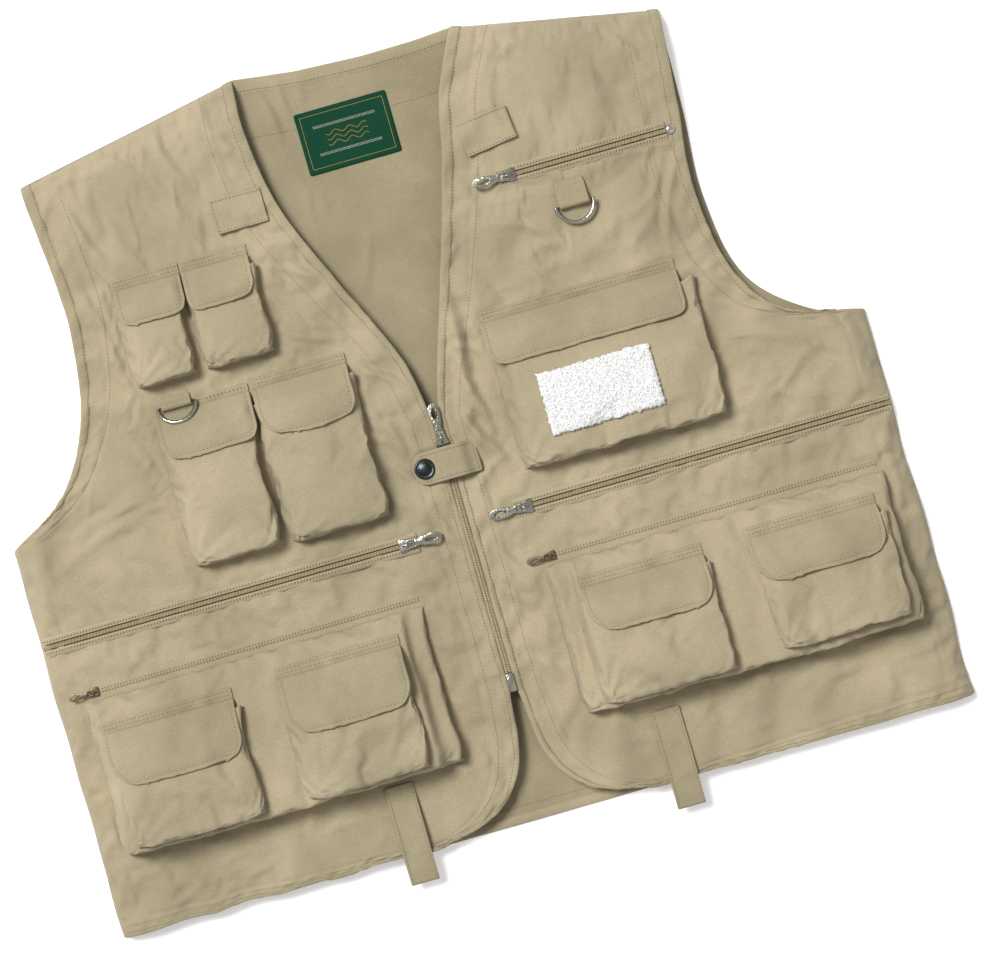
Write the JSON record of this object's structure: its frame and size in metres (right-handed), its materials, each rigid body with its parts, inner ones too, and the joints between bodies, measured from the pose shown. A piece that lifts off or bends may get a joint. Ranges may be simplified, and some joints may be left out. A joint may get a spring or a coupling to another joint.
{
  "type": "fishing vest",
  "caption": "Sleeveless fly-fishing vest lying on its back, with a V neck, front zip, flapped cargo pockets, zipped bellows pockets, D-rings, rod tabs and straps.",
  "frame": {"origin": "middle of the vest's footprint, on the surface that its back lies on", "axes": "+X to the wearer's left, +Y up the vest towards the neck, +Z away from the wearer's back"},
  "size_m": [0.644, 0.596, 0.0515],
  "materials": {
    "khaki_cloth": "plain-woven cotton poplin, matt",
    "khaki_tape": "folded cotton tape, matt",
    "lining_cloth": "thin cotton pocketing",
    "zip_coil": "nylon coil on woven tape",
    "zip_metal": "nickel-plated, polished",
    "ring_steel": "nickel-plated wire",
    "snap_metal": "blackened brass, semi-gloss",
    "fleece": "white sherpa pile",
    "label_weave": "damask-woven label, satin"
  },
  "bodies": {
    "vest": {"back_panel": "khaki_cloth", "neck_label": "label_weave", "fleece_patch": "fleece", "zip_pocket_linings": "lining_cloth", "d_ring_loops": "khaki_tape", "main_zip_stringers": "zip_coil", "main_zip_box": "zip_metal", "chest_zip_end_stop": "ring_steel", "snap_stud": "snap_metal", "right_front": "khaki_cloth", "right_edge_binding": "khaki_tape", "right_armhole_binding": "khaki_tape", "left_front": "khaki_cloth", "left_edge_binding": "khaki_tape", "left_armhole_binding": "khaki_tape", "right_fly_pocket_outer": "khaki_cloth", "right_fly_pocket_inner": "khaki_cloth", "right_mid_pocket_outer": "khaki_cloth", "right_mid_pocket_inner": "khaki_cloth", "left_chest_pocket": "khaki_cloth", "right_bellows_pocket": "khaki_cloth", "left_bellows_pocket": "khaki_cloth", "right_patch_pocket_outer": "khaki_cloth", "right_patch_pocket_inner": "khaki_cloth", "left_patch_pocket_inner": "khaki_cloth", "left_patch_pocket_outer": "khaki_cloth", "chest_zip_chain": "zip_coil", "left_waist_zip_chain": "zip_coil", "right_waist_zip_chain": "zip_coil", "left_bellows_zip_chain": "zip_coil", "right_bellows_zip_chain": "zip_coil"},
    "main_zip_slider": {"main_zip_slider": "zip_metal"},
    "main_zip_pull": {"main_zip_pull": "zip_metal"},
    "chest_zip_slider": {"chest_zip_slider": "zip_metal"},
    "chest_zip_pull": {"chest_zip_pull": "zip_metal"},
    "left_waist_zip_slider": {"left_waist_zip_slider": "zip_metal"},
    "left_waist_zip_pull": {"left_waist_zip_pull": "zip_metal"},
    "right_waist_zip_slider": {"right_waist_zip_slider": "zip_metal"},
    "right_waist_zip_pull": {"right_waist_zip_pull": "zip_metal"},
    "left_bellows_zip_slider": {"left_bellows_zip_slider": "zip_metal"},
    "left_bellows_zip_pull": {"left_bellows_zip_pull": "zip_metal"},
    "right_bellows_zip_slider": {"right_bellows_zip_slider": "zip_metal"},
    "right_bellows_zip_pull": {"right_bellows_zip_pull": "zip_metal"},
    "right_fly_flap_outer": {"right_fly_flap_outer": "khaki_cloth"},
    "right_fly_flap_inner": {"right_fly_flap_inner": "khaki_cloth"},
    "right_mid_flap_outer": {"right_mid_flap_outer": "khaki_cloth"},
    "right_mid_flap_inner": {"right_mid_flap_inner": "khaki_cloth"},
    "left_chest_flap": {"left_chest_flap": "khaki_cloth"},
    "right_patch_flap_outer": {"right_patch_flap_outer": "khaki_cloth"},
    "right_patch_flap_inner": {"right_patch_flap_inner": "khaki_cloth"},
    "left_patch_flap_inner": {"left_patch_flap_inner": "khaki_cloth"},
    "left_patch_flap_outer": {"left_patch_flap_outer": "khaki_cloth"},
    "d_ring_left": {"d_ring_left": "ring_steel"},
    "d_ring_right": {"d_ring_right": "ring_steel"},
    "left_rod_tab": {"left_rod_tab": "khaki_tape"},
    "right_rod_tab": {"right_rod_tab": "khaki_tape"},
    "left_rod_strap": {"left_rod_strap": "khaki_tape"},
    "right_rod_strap": {"right_rod_strap": "khaki_tape"},
    "snap_tab": {"snap_tab": "khaki_tape", "snap_cap": "snap_metal"}
  },
  "joints": [
    {"name": "main_zip_slide", "type": "slide", "parent": "vest", "child": "main_zip_slider", "axis": [0, -1, 0], "range_m": [0, 0.169]},
    {"name": "main_zip_pull_hinge", "type": "hinge", "parent": "main_zip_slider", "child": "main_zip_pull", "pos_m": [0, 0.007, 0.0189], "axis": [1, 0, 0], "range_deg": [0, 120]},
    {"name": "chest_zip_slide", "type": "slide", "parent": "vest", "child": "chest_zip_slider", "axis": [1, 0, 0], "range_m": [0, 0.1105]},
    {"name": "chest_zip_pull_hinge", "type": "hinge", "parent": "chest_zip_slider", "child": "chest_zip_pull", "pos_m": [0.098, 0.176, 0.0182], "axis": [0, 1, 0], "range_deg": [0, 170]},
    {"name": "left_waist_zip_slide", "type": "slide", "parent": "vest", "child": "left_waist_zip_slider", "axis": [1, 0, 0], "range_m": [0, 0.2485]},
    {"name": "left_waist_zip_pull_hinge", "type": "hinge", "parent": "left_waist_zip_slider", "child": "left_waist_zip_pull", "pos_m": [0.044, -0.057, 0.0182], "axis": [0, 1, 0], "range_deg": [0, 170]},
    {"name": "right_waist_zip_slide", "type": "slide", "parent": "vest", "child": "right_waist_zip_slider", "axis": [-1, 0, 0], "range_m": [0, 0.2485]},
    {"name": "right_waist_zip_pull_hinge", "type": "hinge", "parent": "right_waist_zip_slider", "child": "right_waist_zip_pull", "pos_m": [-0.045, -0.06, 0.0182], "axis": [0, -1, 0], "range_deg": [0, 170]},
    {"name": "left_bellows_zip_slide", "type": "slide", "parent": "vest", "child": "left_bellows_zip_slider", "axis": [1, 0, 0], "range_m": [0, 0.2365]},
    {"name": "left_bellows_zip_pull_hinge", "type": "hinge", "parent": "left_bellows_zip_slider", "child": "left_bellows_zip_pull", "pos_m": [0.052, -0.096, 0.0182], "axis": [0, 1, 0], "range_deg": [0, 170]},
    {"name": "right_bellows_zip_slide", "type": "slide", "parent": "vest", "child": "right_bellows_zip_slider", "axis": [1, 0, 0], "range_m": [0, 0.2365]},
    {"name": "right_bellows_zip_pull_hinge", "type": "hinge", "parent": "right_bellows_zip_slider", "child": "right_bellows_zip_pull", "pos_m": [-0.292, -0.1, 0.0182], "axis": [0, 1, 0], "range_deg": [0, 170]},
    {"name": "right_fly_flap_outer_hinge", "type": "hinge", "parent": "vest", "child": "right_fly_flap_outer", "pos_m": [-0.174, 0.175, 0.0158], "axis": [-1, 0, 0], "range_deg": [0, 140]},
    {"name": "right_fly_flap_inner_hinge", "type": "hinge", "parent": "vest", "child": "right_fly_flap_inner", "pos_m": [-0.123, 0.175, 0.0158], "axis": [-1, 0, 0], "range_deg": [0, 140]},
    {"name": "right_mid_flap_outer_hinge", "type": "hinge", "parent": "vest", "child": "right_mid_flap_outer", "pos_m": [-0.1595, 0.083, 0.0171], "axis": [-1, 0, 0], "range_deg": [0, 100]},
    {"name": "right_mid_flap_inner_hinge", "type": "hinge", "parent": "vest", "child": "right_mid_flap_inner", "pos_m": [-0.0865, 0.08, 0.0158], "axis": [-1, 0, 0], "range_deg": [0, 100]},
    {"name": "left_chest_flap_hinge", "type": "hinge", "parent": "vest", "child": "left_chest_flap", "pos_m": [0.1225, 0.08, 0.0158], "axis": [-1, 0, 0], "range_deg": [0, 140]},
    {"name": "right_patch_flap_outer_hinge", "type": "hinge", "parent": "vest", "child": "right_patch_flap_outer", "pos_m": [-0.244, -0.12982, 0.02762], "axis": [-1, 0, 0], "range_deg": [0, 140]},
    {"name": "right_patch_flap_inner_hinge", "type": "hinge", "parent": "vest", "child": "right_patch_flap_inner", "pos_m": [-0.115, -0.12587, 0.02701], "axis": [-1, 0, 0], "range_deg": [0, 140]},
    {"name": "left_patch_flap_inner_hinge", "type": "hinge", "parent": "vest", "child": "left_patch_flap_inner", "pos_m": [0.112, -0.12289, 0.02712], "axis": [-1, 0, 0], "range_deg": [0, 140]},
    {"name": "left_patch_flap_outer_hinge", "type": "hinge", "parent": "vest", "child": "left_patch_flap_outer", "pos_m": [0.2385, -0.1219, 0.02696], "axis": [-1, 0, 0], "range_deg": [0, 140]},
    {"name": "d_ring_left_hinge", "type": "hinge", "parent": "vest", "child": "d_ring_left", "pos_m": [0.139, 0.144, 0.0171], "axis": [-1, 0, 0], "range_deg": [0, 140]},
    {"name": "d_ring_right_hinge", "type": "hinge", "parent": "right_mid_flap_outer", "child": "d_ring_right", "pos_m": [-0.177, 0.083, 0.0171], "axis": [-1, 0, 0], "range_deg": [0, 30]},
    {"name": "left_rod_tab_hinge", "type": "hinge", "parent": "vest", "child": "left_rod_tab", "pos_m": [0.073, 0.209, 0.0159], "axis": [0.1219, -0.9925, 0], "range_deg": [0, 150]},
    {"name": "right_rod_tab_hinge", "type": "hinge", "parent": "vest", "child": "right_rod_tab", "pos_m": [-0.076, 0.205, 0.0159], "axis": [0, 1, 0], "range_deg": [0, 150]},
    {"name": "left_rod_strap_hinge", "type": "hinge", "parent": "vest", "child": "left_rod_strap", "pos_m": [0.101, -0.225, 0.0159], "axis": [-1, 0, 0], "range_deg": [0, 85]},
    {"name": "right_rod_strap_hinge", "type": "hinge", "parent": "vest", "child": "right_rod_strap", "pos_m": [-0.099, -0.225, 0.0159], "axis": [-1, 0, 0], "range_deg": [0, 85]},
    {"name": "snap_tab_hinge", "type": "hinge", "parent": "vest", "child": "snap_tab", "pos_m": [0.022, -0.011, 0.0159], "axis": [0, 1, 0], "range_deg": [0, 130]}
  ]
}
